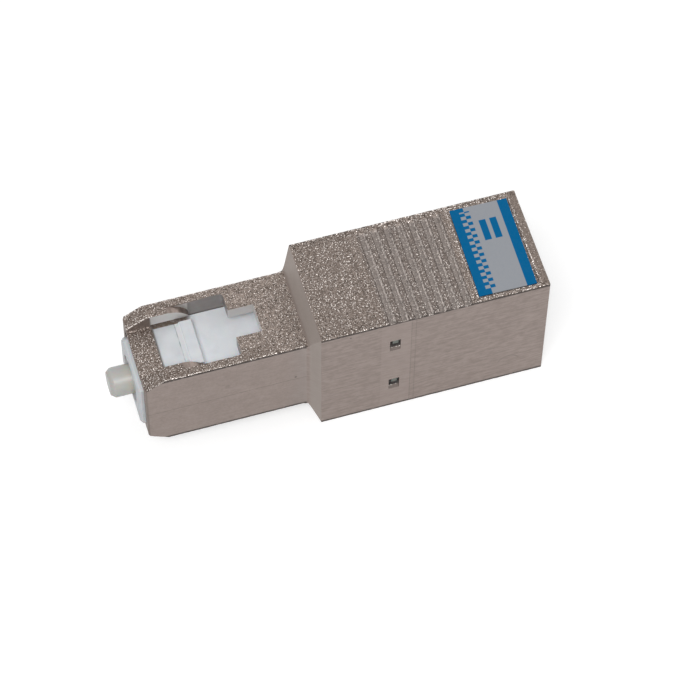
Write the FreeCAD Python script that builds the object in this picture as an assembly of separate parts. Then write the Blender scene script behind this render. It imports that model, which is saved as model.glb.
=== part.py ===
import FreeCAD
import Part
import math
import os

# Fixed fibre optic attenuator: a push-pull plug at one end, a receptacle at the other.
# Millimetres. The pieces are drawn about the optical axis: X = 0 at the back of the shoulder
# and runs from the ferrule's tip to the receptacle's mouth, +Y faces the key, +Z is up.
# At the end every piece is moved so that the origin lies under the middle of the part.

# Housing, outside
body_length = 19.15
body_width = 9.5
body_height = 12.95
plug_length = 13.5
plug_width = 7.4
plug_height = 9.0
shoulder_length = 0.85
shoulder_side_round = 0.9
long_edge_round = 0.06
mouth_edge_chamfer = 0.05
nose_slope_length = 1.7
nose_slope_depth = 1.03
nose_side_chamfer = 0.12

# Housing, inside
plug_side_wall = 0.7
plug_top_wall = 1.15
shoulder_wall = 0.4
bridge_length = 2.0
bridge_thickness = 0.45
bridge_clearance = 0.15
socket_clearance = 0.05
mouth_lead = 0.4
arm_relief_wall = 0.875
arm_relief_clearance = 0.25

# Latch windows in the plug sleeve, above and below
window_length = 6.2
window_corner_round = 0.3
channel_width = 4.8
cam_flat_length = 1.25
cam_length = 2.0
tongue_length = 2.15
tongue_width = 2.64

# Key on the plug sleeve and its slot in the receptacle
key_width = 2.15
key_height = 0.8
key_length = 9.5
key_lead = 0.4
key_setback = 1.35
key_clearance = 0.1
key_slot_length = 10.0

# Grip grooves, plain panel and label recess
groove_count = 7
groove_start = 5.6
groove_pitch = 1.05
groove_width = 0.58
groove_depth = 0.2
groove_draft = 0.06
panel_start = 1.15
panel_length = 3.4
panel_width = 8.3
panel_depth = 0.05
panel_corner_round = 0.4
label_middle = 15.8
label_length = 4.85
label_width = 8.5
label_thickness = 0.09
label_turn = -0.9
label_recess_depth = 0.16
label_recess_margin = 0.18

# Ferrule and fibre
ferrule_radius = 1.25
ferrule_length = 23.8
ferrule_standout = 1.85
ferrule_chamfer_length = 0.36
ferrule_chamfer_depth = 0.27
fibre_radius = 0.0625
fibre_clearance = 0.001

# Plug frame
frame_standout = 0.45
frame_clearance = 0.05
frame_nose_height = 5.0
frame_key_chamfer = 0.9
frame_key_chamfer_length = 2.2
frame_front_bevel = 0.2
frame_guide_lead = 0.4
catch_behind_window_edge = 3.35
catch_length = 1.05
catch_ramp_length = 0.35
catch_width = 4.2
release_travel = 1.2
collar_thickness = 1.2
collar_rise = 0.55
holder_entry_depth = 5.0
holder_entry_clearance = 0.05
partition_thickness = 1.8
ferrule_guide_clearance = 0.1

# Ferrule collar and its spring
flange_thickness = 1.0
flange_sleeve_wall = 0.17
flange_sleeve_length = 1.8
flange_clearance = 0.08
flange_notch_width = 0.9
flange_notch_clearance = 0.1
key_rib_height = 0.2
key_rib_clearance = 0.06
ferrule_travel = 1.0
spring_wire = 0.35
spring_wire_sides = 8
spring_turns = 6
spring_length = 4.0
spring_clearance = 0.07

# Stop ring behind the spring
stop_length = 1.6
stop_shoulder = 0.3
stop_bore_clearance = 0.2
stop_bead_height = 0.1
stop_bead_length = 0.5
stop_seat_clearance = 0.02

# Split sleeve and its two-piece holder
sleeve_length = 11.4
sleeve_wall = 0.33
sleeve_slit = 0.4
sleeve_running_clearance = 0.02
sleeve_float = 0.05
holder_wall = 0.25
holder_lip = 0.4
holder_lip_clearance = 0.1
holder_gap = 0.03
hub_inset = 0.3
hub_length = 1.55
cap_plate_thickness = 1.1
insert_plate_thickness = 2.0
insert_clearance = 0.03
plate_corner_chamfer = 0.5

# Latch arms and snap teeth of the receptacle insert
arm_thickness = 0.95
arm_top_gap = 0.1
arm_width = 4.4
arm_ear_width = 5.6
arm_root_chamfer = 0.5
latch_clearance = 0.1
latch_depth = 0.75
latch_flat = 0.35
latch_length = 1.3
latch_tip_height = 0.7
snap_window_length = 0.9
snap_window_height = 1.48
snap_window_offset = 2.99
snap_window_behind_plate = 0.69
snap_channel_height = 2.0
snap_channel_wall = 0.25
snap_sill_rise = 0.2
tooth_length = 0.66
tooth_lead = 0.18
tooth_height = 0.72
tooth_rise = 0.3
tooth_recess = 0.22

# Stations along the optical axis
foot_x = -shoulder_length
nose_x = foot_x - plug_length
mouth_x = body_length
window_x = nose_x + bridge_length
window_back_x = window_x + window_length
frame_nose_x = nose_x - frame_standout
tip_x = frame_nose_x - ferrule_standout
ferrule_back_x = tip_x + ferrule_length
catch_back_x = window_x + catch_behind_window_edge
collar_x = shoulder_wall + release_travel
collar_back_x = collar_x + collar_thickness
partition_x = frame_nose_x + holder_entry_depth
flange_x = partition_x + partition_thickness
spring_x = flange_x + flange_thickness
stop_x = spring_x + spring_length
hub_x = collar_back_x + holder_gap
cap_plate_x = hub_x + hub_length
insert_x = cap_plate_x + cap_plate_thickness
insert_back_x = insert_x + insert_plate_thickness
snap_window_x = insert_x + snap_window_behind_plate
sleeve_front_x = ferrule_back_x - sleeve_length / 2
sleeve_back_x = ferrule_back_x + sleeve_length / 2
latch_x = ferrule_back_x + (catch_back_x - tip_x) + latch_clearance
latch_end_x = latch_x + latch_length

# Half sizes and radii that several pieces share
bore_half_width = plug_width / 2 - plug_side_wall
bore_half_height = plug_height / 2 - plug_top_wall
nose_half_height = frame_nose_height / 2
frame_half_width = bore_half_width - frame_clearance
guide_half_height = bore_half_height - frame_clearance
collar_half_width = frame_half_width + collar_rise
collar_half_height = guide_half_height + collar_rise
bridge_half_opening = nose_half_height + bridge_clearance
socket_half_width = plug_width / 2 + socket_clearance
socket_half_height = plug_height / 2 + socket_clearance
plate_half_width = socket_half_width - insert_clearance
plate_half_height = socket_half_height - insert_clearance
arm_outer = socket_half_height - arm_top_gap
arm_inner = arm_outer - arm_thickness
sleeve_bore_radius = ferrule_radius + sleeve_running_clearance
sleeve_radius = sleeve_bore_radius + sleeve_wall
holder_bore_radius = sleeve_radius + sleeve_float
holder_radius = holder_bore_radius + holder_wall
holder_lip_radius = ferrule_radius + holder_lip_clearance
entry_radius = holder_radius + holder_entry_clearance
guide_bore_radius = ferrule_radius + ferrule_guide_clearance
flange_sleeve_radius = ferrule_radius + flange_sleeve_wall
spring_radius = flange_sleeve_radius + spring_clearance + spring_wire
key_rib_radius = spring_radius + key_rib_clearance
chamber_radius = key_rib_radius + key_rib_height
flange_radius = chamber_radius - flange_clearance
stop_radius = chamber_radius + stop_shoulder
stop_seat_radius = stop_radius + stop_seat_clearance
fibre_bore_radius = fibre_radius + fibre_clearance

AXIS = FreeCAD.Vector(1, 0, 0)
ACROSS = FreeCAD.Vector(0, 1, 0)
UP = FreeCAD.Vector(0, 0, 1)
CENTRE = FreeCAD.Vector(0, 0, 0)

# How far a cutter runs past the face it opens, and how exactly an edge is found
overshoot = 1.0
tolerance = 1e-6


def block(x0, x1, y0, y1, z0, z1):
    """Box between two corners."""
    return Part.makeBox(x1 - x0, y1 - y0, z1 - z0, FreeCAD.Vector(x0, y0, z0))


def centred(x0, x1, half_width, half_height):
    """Box centred on the optical axis."""
    return block(x0, x1, -half_width, half_width, -half_height, half_height)


def rod(x0, x1, radius):
    """Round bar on the optical axis."""
    return Part.makeCylinder(radius, x1 - x0, FreeCAD.Vector(x0, 0, 0), AXIS)


def tube(x0, x1, radius, bore):
    """Round tube on the optical axis."""
    return rod(x0, x1, radius).cut(rod(x0, x1, bore))


def side_profile(points, half_width):
    """Outline drawn in the X-Z plane, pushed out to both sides of the axis."""
    corners = [FreeCAD.Vector(x, -half_width, z) for x, z in points]
    outline = Part.makePolygon(corners + corners[:1])
    return Part.Face(outline).extrude(ACROSS * (2 * half_width))


def top_profile(points, half_height):
    """Outline drawn in the X-Y plane, pushed out above and below the axis."""
    corners = [FreeCAD.Vector(x, y, -half_height) for x, y in points]
    outline = Part.makePolygon(corners + corners[:1])
    return Part.Face(outline).extrude(UP * (2 * half_height))


def turned(points):
    """Solid of revolution about the optical axis from an outline in X and radius."""
    corners = [FreeCAD.Vector(x, 0, radius) for x, radius in points]
    outline = Part.makePolygon(corners + corners[:1])
    return Part.Face(outline).revolve(CENTRE, AXIS, 360)


def above_and_below(shape):
    """The shape and its mirror image under the optical axis."""
    return [shape, shape.mirror(CENTRE, UP)]


def both_sides(shape):
    """The shape and its mirror image across the optical axis."""
    return [shape, shape.mirror(CENTRE, ACROSS)]


def edges_along(shape, direction):
    """Straight edges that run in one direction."""
    straight = [edge for edge in shape.Edges if isinstance(edge.Curve, Part.Line)]
    return [edge for edge in straight if edge.Curve.Direction.cross(direction).Length < tolerance]


def edges_at(shape, x):
    """Edges that lie in the plane at one station of the optical axis."""
    return [edge for edge in shape.Edges
            if max(abs(edge.BoundBox.XMin - x), abs(edge.BoundBox.XMax - x)) < tolerance]


def shallow_pocket(x0, length, width, depth, corner_round):
    """Cutter for a recess in the housing's top face."""
    top = body_height / 2
    pocket = block(x0, x0 + length, -width / 2, width / 2, top - depth, top + depth)
    return pocket.makeFillet(corner_round, edges_along(pocket, UP))


def housing_outside():
    """Receptacle block, sloped shoulder and plug sleeve in one piece."""
    plan = [(nose_x, plug_width / 2), (foot_x, plug_width / 2),
            (0, body_width / 2), (mouth_x, body_width / 2)]
    side = [(nose_x, plug_height / 2), (foot_x, plug_height / 2),
            (0, body_height / 2), (mouth_x, body_height / 2)]
    from_above = top_profile(plan + [(x, -y) for x, y in reversed(plan)], body_height / 2)
    feet = [edge for edge in edges_along(from_above, UP) if abs(edge.BoundBox.XMin - foot_x) < tolerance]
    from_above = from_above.makeFillet(shoulder_side_round, feet)
    from_side = side_profile(side + [(x, -z) for x, z in reversed(side)], body_width / 2)
    outside = from_above.common(from_side)
    outside = outside.makeFillet(long_edge_round, edges_along(outside, AXIS))
    outside = outside.makeChamfer(mouth_edge_chamfer, edges_at(outside, mouth_x))
    top = plug_height / 2
    slope = side_profile([(nose_x, top - nose_slope_depth), (nose_x, top),
                          (nose_x + nose_slope_length, top)], plug_width)
    outside = outside.cut(above_and_below(slope))
    upright = [edge for edge in edges_at(outside, nose_x) if edge.BoundBox.YLength < tolerance]
    outside = outside.makeChamfer(nose_side_chamfer, upright)
    key_x = nose_x + key_setback
    key_top = plug_width / 2 + key_height
    key = top_profile([(key_x, bore_half_width), (key_x, key_top - key_lead), (key_x + key_lead, key_top),
                       (key_x + key_length, key_top), (key_x + key_length, bore_half_width)], key_width / 2)
    return outside.fuse(key)


def latch_window():
    """Cutter for the top window: channel over the bridge, pocket with cam ledges, narrow tongue."""
    roof = plug_height / 2
    ceiling = bore_half_height
    over = roof + plug_top_wall
    half_channel = channel_width / 2
    cam_x = window_x + cam_flat_length
    cam_end_x = cam_x + cam_length
    cam_radius = (cam_length ** 2 + plug_top_wall ** 2) / (2 * plug_top_wall)
    half_turn = math.asin(cam_length / cam_radius) / 2
    cam_middle = FreeCAD.Vector(cam_x + cam_radius * math.sin(half_turn), -bore_half_width,
                                roof - cam_radius * (1 - math.cos(half_turn)))
    start = FreeCAD.Vector(cam_x, -bore_half_width, roof)
    end = FreeCAD.Vector(cam_end_x, -bore_half_width, ceiling)
    corners = [end, FreeCAD.Vector(window_back_x, -bore_half_width, ceiling),
               FreeCAD.Vector(window_back_x, -bore_half_width, over),
               FreeCAD.Vector(cam_x, -bore_half_width, over), start]
    outline = Part.Wire([Part.Arc(start, cam_middle, end).toShape()] + Part.makePolygon(corners).Edges)
    pocket = Part.Face(outline).extrude(ACROSS * (2 * bore_half_width))
    back_corners = [edge for edge in edges_along(pocket, UP)
                    if abs(edge.BoundBox.XMin - window_back_x) < tolerance]
    pocket = pocket.makeFillet(window_corner_round, back_corners)
    slot = block(window_x, window_back_x - window_corner_round, -half_channel, half_channel, ceiling, over)
    bridge_top = bridge_half_opening + bridge_thickness
    channel = block(nose_x - overshoot, window_x, -half_channel, half_channel, bridge_top, over)
    tongue = block(window_back_x - overshoot, window_back_x + tongue_length,
                   -tongue_width / 2, tongue_width / 2, ceiling, over)
    return pocket.fuse([slot, channel, tongue])


def housing():
    """Die-cast body: plug sleeve in front, receptacle block behind, one through cavity."""
    bore = centred(window_x, shoulder_wall, bore_half_width, bore_half_height)
    bridge_way = centred(nose_x - overshoot, window_x, bore_half_width, bridge_half_opening)
    collar_room = centred(shoulder_wall, cap_plate_x, collar_half_width + frame_clearance,
                          collar_half_height + frame_clearance)
    socket = centred(cap_plate_x, mouth_x, socket_half_width, socket_half_height)
    inner_edge = rectangle(mouth_x - mouth_lead, socket_half_width, socket_half_height)
    outer_edge = rectangle(mouth_x, socket_half_width + mouth_lead, socket_half_height + mouth_lead)
    lead = Part.makeLoft([inner_edge, outer_edge], True, True)
    relief = centred(insert_back_x, mouth_x, arm_ear_width / 2 + arm_relief_clearance,
                     body_height / 2 - arm_relief_wall)
    half_slot = key_width / 2 + key_clearance
    key_slot = block(mouth_x - key_slot_length, mouth_x, socket_half_width - socket_clearance, body_width,
                     -half_slot, half_slot)
    cutters = [bore, bridge_way, collar_room, socket, lead, relief, key_slot]
    cutters += above_and_below(latch_window())
    cutters += snap_windows()
    cutters += grip_grooves()
    cutters.append(shallow_pocket(panel_start, panel_length, panel_width, panel_depth, panel_corner_round))
    cutters.append(label_recess())
    return housing_outside().cut(cutters)


def rectangle(x, half_width, half_height):
    """Upright rectangle on the optical axis."""
    corners = [FreeCAD.Vector(x, half_width, half_height), FreeCAD.Vector(x, -half_width, half_height),
               FreeCAD.Vector(x, -half_width, -half_height), FreeCAD.Vector(x, half_width, -half_height)]
    return Part.makePolygon(corners + corners[:1])


def snap_windows():
    """Cutters for the four side windows, sills sloped outwards, and the channels that lead the teeth in."""
    front_x = snap_window_x - snap_window_length / 2
    outer_y = body_width / 2
    inner_y = outer_y - snap_channel_wall
    past_y = outer_y + overshoot
    sill_fall = overshoot * snap_sill_rise / snap_channel_wall
    half_channel = snap_channel_height / 2
    cutters = []
    for level in (snap_window_offset, -snap_window_offset):
        sill = level - snap_window_height / 2
        head = level + snap_window_height / 2
        points = [(inner_y, head), (inner_y, sill + snap_sill_rise),
                  (past_y, sill - sill_fall), (past_y, head)]
        corners = [FreeCAD.Vector(front_x, y, z) for y, z in points]
        window = Part.Face(Part.makePolygon(corners + corners[:1])).extrude(AXIS * snap_window_length)
        channel = block(insert_x, mouth_x, socket_half_width - socket_clearance, inner_y,
                        level - half_channel, level + half_channel)
        cutters += both_sides(window.fuse(channel))
    return cutters


def grip_grooves():
    """Cutters for the cross grooves on the top, narrower at the floor."""
    top = body_height / 2
    cutters = []
    for number in range(groove_count):
        x = groove_start + number * groove_pitch
        end_x = x + groove_width
        cutters.append(side_profile([(x, top + groove_depth), (x, top),
                                     (x + groove_draft, top - groove_depth),
                                     (end_x - groove_draft, top - groove_depth), (end_x, top),
                                     (end_x, top + groove_depth)], body_width))
    return cutters


def label_recess():
    """Cutter for the shallow recess that the label is stuck in."""
    length = label_length + 2 * label_recess_margin
    return shallow_pocket(label_middle - length / 2, length, label_width + 2 * label_recess_margin,
                          label_recess_depth, label_recess_margin)


def label():
    """Printed film, stuck a little askew on the floor of its recess."""
    floor = body_height / 2 - label_recess_depth
    film = block(label_middle - label_length / 2, label_middle + label_length / 2,
                 -label_width / 2, label_width / 2, floor, floor + label_thickness)
    film.rotate(FreeCAD.Vector(label_middle, 0, 0), UP, label_turn)
    return film


def plug_frame():
    """White moulding: nose through the bridge, catch ridges in the windows, collar at the back."""
    waist_x = frame_nose_x + frame_key_chamfer_length
    nose = centred(frame_nose_x, waist_x, frame_half_width, nose_half_height)
    nose = nose.makeChamfer(frame_key_chamfer, [edge for edge in edges_along(nose, AXIS)
                                                if edge.BoundBox.YMin > 0])
    nose = nose.makeChamfer(frame_front_bevel, edges_at(nose, frame_nose_x))
    waist = centred(waist_x, collar_x, frame_half_width, nose_half_height)
    guide = centred(stop_x - frame_guide_lead, collar_x, frame_half_width, guide_half_height)
    collar = centred(collar_x, collar_back_x, collar_half_width, collar_half_height)
    catch_x = catch_back_x - catch_length
    ramp_x = catch_x - catch_ramp_length
    catch = side_profile([(ramp_x, 0), (ramp_x, nose_half_height), (catch_x, guide_half_height),
                          (catch_back_x, guide_half_height), (catch_back_x, 0)], catch_width / 2)
    frame = nose.fuse([waist, guide, collar] + above_and_below(catch))
    bead_x = stop_x + (stop_length - stop_bead_length) / 2
    groove_radius = stop_seat_radius + stop_bead_height
    hollow = turned([(frame_nose_x, 0), (frame_nose_x, entry_radius), (partition_x, entry_radius),
                     (partition_x, guide_bore_radius), (flange_x, guide_bore_radius),
                     (flange_x, chamber_radius), (stop_x, chamber_radius), (stop_x, stop_seat_radius),
                     (bead_x - stop_seat_clearance, stop_seat_radius), (bead_x, groove_radius),
                     (bead_x + stop_bead_length, groove_radius),
                     (bead_x + stop_bead_length + stop_seat_clearance, stop_seat_radius),
                     (collar_back_x, stop_seat_radius), (collar_back_x, 0)])
    rib_width = flange_notch_width - 2 * flange_notch_clearance
    rib = block(flange_x, spring_x + ferrule_travel, key_rib_radius, frame_half_width,
                -rib_width / 2, rib_width / 2)
    return frame.cut(hollow).fuse(both_sides(rib))


def ferrule():
    """Ceramic rod with both ends chamfered and a capillary bore for the fibre."""
    end_radius = ferrule_radius - ferrule_chamfer_depth
    return turned([(tip_x, fibre_bore_radius), (tip_x, end_radius),
                   (tip_x + ferrule_chamfer_length, ferrule_radius),
                   (ferrule_back_x - ferrule_chamfer_length, ferrule_radius),
                   (ferrule_back_x, end_radius), (ferrule_back_x, fibre_bore_radius)])


def attenuating_fibre():
    """Doped glass fibre, cemented in the ferrule and polished flush with both ends."""
    return rod(tip_x, ferrule_back_x, fibre_radius)


def ferrule_flange():
    """Metal collar pressed on the ferrule, notched on both sides for the key ribs."""
    end_x = spring_x + flange_sleeve_length
    collar = turned([(flange_x, ferrule_radius), (flange_x, flange_radius), (spring_x, flange_radius),
                     (spring_x, flange_sleeve_radius), (end_x, flange_sleeve_radius),
                     (end_x, ferrule_radius)])
    notch_floor = key_rib_radius - flange_notch_clearance
    notch = block(flange_x, spring_x, notch_floor, chamber_radius,
                  -flange_notch_width / 2, flange_notch_width / 2)
    return collar.cut(both_sides(notch))


def spring():
    """Coil spring between the collar and the stop ring, its wire drawn with flat sides."""
    coil_radius = spring_radius - spring_wire / 2
    rise = spring_length - spring_wire
    path = Part.makeHelix(rise / spring_turns, rise, coil_radius)
    reach = spring_wire / 2 / math.cos(math.pi / spring_wire_sides)
    turns = [math.pi * (2 * side + 1) / spring_wire_sides for side in range(spring_wire_sides)]
    corners = [FreeCAD.Vector(coil_radius + reach * math.cos(turn), 0, reach * math.sin(turn))
               for turn in turns]
    section = Part.makePolygon(corners + corners[:1])
    coil = Part.Wire(path.Edges).makePipeShell([section], True, True)
    coil.rotate(CENTRE, ACROSS, 90)
    coil.translate(FreeCAD.Vector(spring_x + spring_wire / 2, 0, 0))
    return coil


def spring_stop():
    """Ring that snaps into the plug frame and takes the spring's thrust."""
    bead_x = stop_x + (stop_length - stop_bead_length) / 2
    bead_radius = stop_radius + stop_bead_height
    bore = ferrule_radius + stop_bore_clearance
    return turned([(stop_x, bore), (stop_x, stop_radius), (bead_x, stop_radius),
                   (bead_x + stop_seat_clearance, bead_radius),
                   (bead_x + stop_bead_length - stop_seat_clearance, bead_radius),
                   (bead_x + stop_bead_length, stop_radius),
                   (stop_x + stop_length, stop_radius), (stop_x + stop_length, bore)])


def split_sleeve():
    """Slit ceramic tube that lines up this ferrule with the incoming one."""
    sleeve = tube(sleeve_front_x, sleeve_back_x, sleeve_radius, sleeve_bore_radius)
    slit = block(sleeve_front_x, sleeve_back_x, -sleeve_slit / 2, sleeve_slit / 2, 0, 2 * sleeve_radius)
    return sleeve.cut(slit)


def holder_plate(x0, x1):
    """Plate that fills the socket, with its corners taken off."""
    plate = centred(x0, x1, plate_half_width, plate_half_height)
    return plate.makeChamfer(plate_corner_chamfer, edges_along(plate, AXIS))


def sleeve_cap():
    """Front half of the sleeve holder: plate, hub that stops the plug frame, and lipped tube."""
    lip_x = sleeve_front_x - sleeve_float
    front_x = lip_x - holder_lip
    hub_radius = min(collar_half_width, collar_half_height) - hub_inset
    body = holder_plate(cap_plate_x, insert_x).fuse([rod(hub_x, cap_plate_x, hub_radius),
                                                     rod(front_x, hub_x, holder_radius)])
    return body.cut([rod(front_x, lip_x, holder_lip_radius), rod(lip_x, insert_x, holder_bore_radius)])


def latch_arm():
    """Upper latch arm: stem, hook nose with a lead-in slope, and ears that ride on the cams."""
    hook_z = arm_inner - latch_depth
    stem = side_profile([(insert_x, arm_inner), (latch_x, arm_inner), (latch_x, hook_z),
                         (latch_x + latch_flat, hook_z), (latch_end_x, arm_outer - latch_tip_height),
                         (latch_end_x, arm_outer), (insert_x, arm_outer)], arm_width / 2)
    root = side_profile([(insert_back_x, arm_inner), (insert_back_x, arm_inner - arm_root_chamfer),
                         (insert_back_x + arm_root_chamfer, arm_inner)], arm_width / 2)
    ears = block(latch_x, latch_x + latch_length / 2, -arm_ear_width / 2, arm_ear_width / 2,
                 arm_inner, arm_outer)
    return stem.fuse([root, ears])


def snap_tooth(level):
    """Tooth on the far side: sloped towards the front so that it springs past the wall."""
    tip_y = body_width / 2 - tooth_recess
    half = tooth_length / 2
    points = [(snap_window_x - half, plate_half_width), (snap_window_x - half + tooth_lead, tip_y),
              (snap_window_x + half, tip_y), (snap_window_x + half, 0), (snap_window_x - half, 0)]
    foot = level + tooth_rise - tooth_height / 2
    corners = [FreeCAD.Vector(x, y, foot) for x, y in points]
    outline = Part.makePolygon(corners + corners[:1])
    return Part.Face(outline).extrude(UP * tooth_height)


def latch_insert():
    """White receptacle moulding: plate with snap teeth, sleeve tube and two latch arms."""
    lip_x = sleeve_back_x + sleeve_float
    back_x = lip_x + holder_lip
    teeth = both_sides(snap_tooth(snap_window_offset)) + both_sides(snap_tooth(-snap_window_offset))
    body = holder_plate(insert_x, insert_back_x).fuse([rod(insert_x, back_x, holder_radius)])
    body = body.fuse(above_and_below(latch_arm()) + teeth)
    return body.cut([rod(insert_x, lip_x, holder_bore_radius), rod(lip_x, back_x, holder_lip_radius)])


def save(piece):
    """Move one piece into the part's own frame and write it out under its name."""
    solids = piece().removeSplitter().Solids
    if len(solids) != 1:
        raise ValueError(f"{piece.__name__} came out as {len(solids)} solids")
    solid = solids[0]
    solid.translate(FreeCAD.Vector(-(tip_x + mouth_x) / 2, 0, body_height / 2))
    solid.exportStep(f"parts/{piece.__name__}.step")


os.makedirs("parts", exist_ok=True)
for piece in (housing, label, plug_frame, ferrule, attenuating_fibre, ferrule_flange, spring, spring_stop,
              split_sleeve, sleeve_cap, latch_insert):
    save(piece)
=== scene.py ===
import bpy
import bmesh
import math
from mathutils import Euler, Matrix, Vector, noise as rough_noise


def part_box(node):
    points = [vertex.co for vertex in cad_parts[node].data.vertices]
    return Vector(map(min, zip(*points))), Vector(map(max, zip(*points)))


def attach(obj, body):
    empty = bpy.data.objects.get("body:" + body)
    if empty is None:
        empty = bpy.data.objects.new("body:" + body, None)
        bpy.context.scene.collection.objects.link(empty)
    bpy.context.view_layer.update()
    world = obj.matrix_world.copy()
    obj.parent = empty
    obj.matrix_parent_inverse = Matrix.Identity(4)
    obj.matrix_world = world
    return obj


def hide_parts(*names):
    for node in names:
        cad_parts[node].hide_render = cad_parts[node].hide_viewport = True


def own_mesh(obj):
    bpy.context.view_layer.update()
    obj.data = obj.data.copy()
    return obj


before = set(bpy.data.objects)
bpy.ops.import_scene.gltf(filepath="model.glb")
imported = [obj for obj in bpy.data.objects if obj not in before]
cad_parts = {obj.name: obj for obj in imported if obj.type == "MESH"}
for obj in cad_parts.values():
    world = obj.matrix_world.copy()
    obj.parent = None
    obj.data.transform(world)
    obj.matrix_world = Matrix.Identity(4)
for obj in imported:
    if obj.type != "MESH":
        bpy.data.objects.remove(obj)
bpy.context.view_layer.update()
scene = bpy.context.scene

# The studio: a pale table top that runs out to a white room, a soft lamp at the left of the
# camera, a weaker one behind the part, and a small one that makes the casting's grain sparkle.
# The camera stands above the front left corner and looks down on the part with a long lens.
scene.view_settings.view_transform = "Standard"
camera_place = (-0.039334, -0.133381, 0.233396)
camera_tilt = (31.1672, -0.5253, -16.5796)
room_level = 0.45
white_light = (1.0, 1.0, 1.0, 1.0)
table_grey = (0.62, 0.62, 0.62, 1.0)
table_glow = 0.5
table_reach = 3.0

camera_data = bpy.data.cameras.new("camera")
camera_data.lens = 167.1
camera_data.sensor_width = 36.0
camera_data.clip_start = 0.01
camera_data.clip_end = 20.0
camera = bpy.data.objects.new("camera", camera_data)
camera.location = camera_place
camera.rotation_euler = Euler([math.radians(angle) for angle in camera_tilt])
scene.collection.objects.link(camera)
scene.camera = camera


def wire(tree, socket, value):
    """Link a socket into an input, or set the input to a plain value."""
    if isinstance(value, bpy.types.NodeSocket):
        tree.links.new(value, socket)
    else:
        socket.default_value = value


def calc(tree, operation, *values):
    """One arithmetic step on numbers."""
    node = tree.nodes.new("ShaderNodeMath")
    node.operation = operation
    for socket, value in zip(node.inputs, values):
        wire(tree, socket, value)
    return node.outputs[0]


def times(tree, value, factor):
    """A mask or a pattern made weaker or stronger."""
    return calc(tree, "MULTIPLY", value, factor)


def seen_directly(tree):
    """1 where the camera, a mirror or a clear solid looks straight at the surface."""
    path = tree.nodes.new("ShaderNodeLightPath")
    mirrored = calc(tree, "MAXIMUM", path.outputs["Is Glossy Ray"], path.outputs["Is Transmission Ray"])
    return calc(tree, "MAXIMUM", path.outputs["Is Camera Ray"], mirrored)


room = bpy.data.worlds.new("room")
room.use_nodes = True
scene.world = room
tree = room.node_tree
sky = tree.nodes["Background"]
sky.inputs["Color"].default_value = white_light
wire(tree, sky.inputs["Strength"],
     calc(tree, "MULTIPLY_ADD", seen_directly(tree), 1.0 - room_level, room_level))

table_paint = bpy.data.materials.new("table_paint")
table_paint.use_nodes = True
tree = table_paint.node_tree
paint = tree.nodes["Principled BSDF"]
paint.inputs["Base Color"].default_value = table_grey
paint.inputs["Roughness"].default_value = 1.0
paint.inputs["Specular IOR Level"].default_value = 0.0
paint.inputs["Emission Color"].default_value = white_light
wire(tree, paint.inputs["Emission Strength"], times(tree, seen_directly(tree), table_glow))

table_mesh = bpy.data.meshes.new("table")
table_corners = [(-table_reach, -table_reach, 0), (table_reach, -table_reach, 0),
                 (table_reach, table_reach, 0), (-table_reach, table_reach, 0)]
table_mesh.from_pydata(table_corners, [], [(0, 1, 2, 3)])
table_mesh.materials.append(table_paint)
table = bpy.data.objects.new("table", table_mesh)
scene.collection.objects.link(table)


def hang_lamp(name, place, size, power):
    """Square soft lamp that faces the part."""
    data = bpy.data.lights.new(name, "AREA")
    data.size = size
    data.energy = power
    lamp = bpy.data.objects.new(name, data)
    lamp.location = place
    lamp.rotation_euler = (-Vector(place)).to_track_quat("-Z", "Y").to_euler()
    scene.collection.objects.link(lamp)


hang_lamp("lamp_at_left", place=(-0.18, -0.22, 0.48), size=0.20, power=1.10)
hang_lamp("lamp_behind", place=(0.42, 0.30, 0.30), size=0.30, power=0.75)
hang_lamp("lamp_by_camera", place=(-0.07, -0.23, 0.39), size=0.05, power=0.42)


# Housing: one zinc die casting with a nickel skin. Top and underside keep the coarse grain of
# the mould, the sides are drawn smooth, and the edges between them are broken, with painted highlights.
ferrule_low, ferrule_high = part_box("ferrule")
axis_height = (ferrule_low.z + ferrule_high.z) / 2
house_low, house_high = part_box("housing")
label_low, label_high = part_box("label")
block_front = -0.00125
plug_foot = -0.0021
plug_half_width = 0.0037
plug_half_height = 0.0045
bridge_rise = 0.0029
skin_depth = 0.0001
side_skin_depth = 0.00002
rounded_border = 0.0006
label_margin = 0.0004
cam_front = -0.01236
cam_back = -0.01034
cam_drop = 0.00001
cam_inset = 0.0005
grooves_start = 0.004
far_rim_start = 0.00405
far_rim_full = 0.00435
far_rim_fill = 0.8
cam_slope = 0.08
grain_slope = 0.005
rim_slope = 0.5
smooth_slope = 0.05
step_steepness = 0.6
groove_wall_steepness = 0.98
grain_pitch = 0.00013
grain_depth = 0.000035
grain_contrast = 2.0
coarse_grain_share = 0.55
coarse_grain_per_mm = 2.1
fine_grain_share = 0.75
fine_grain_per_mm = 4.3
sharpest_bend = math.radians(40)
rounding_step = math.radians(15)
flattest_bend = math.radians(0.4)
slim_width = 0.000008
shortest_edge = 0.0000025
weld_distance = 0.000001
cut_tolerance = 0.0000001
CAST, DRAWN, GLINT_RIM, INNER, CAM = range(5)


def mm(length):
    """A length or a place in millimetres."""
    return length * 1000.0


def is_inside(middle, rise):
    """Faces of the windows, the bore and the receptacle, below the outer skin of the casting."""
    if middle.x > block_front + skin_depth:
        return abs(middle.y) < house_high.y - side_skin_depth and middle.x < house_high.x - skin_depth
    within_width = abs(middle.y) < plug_half_width - skin_depth
    within_height = abs(rise) < plug_half_height - skin_depth
    return middle.x > house_low.x + skin_depth and within_width and within_height


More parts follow.
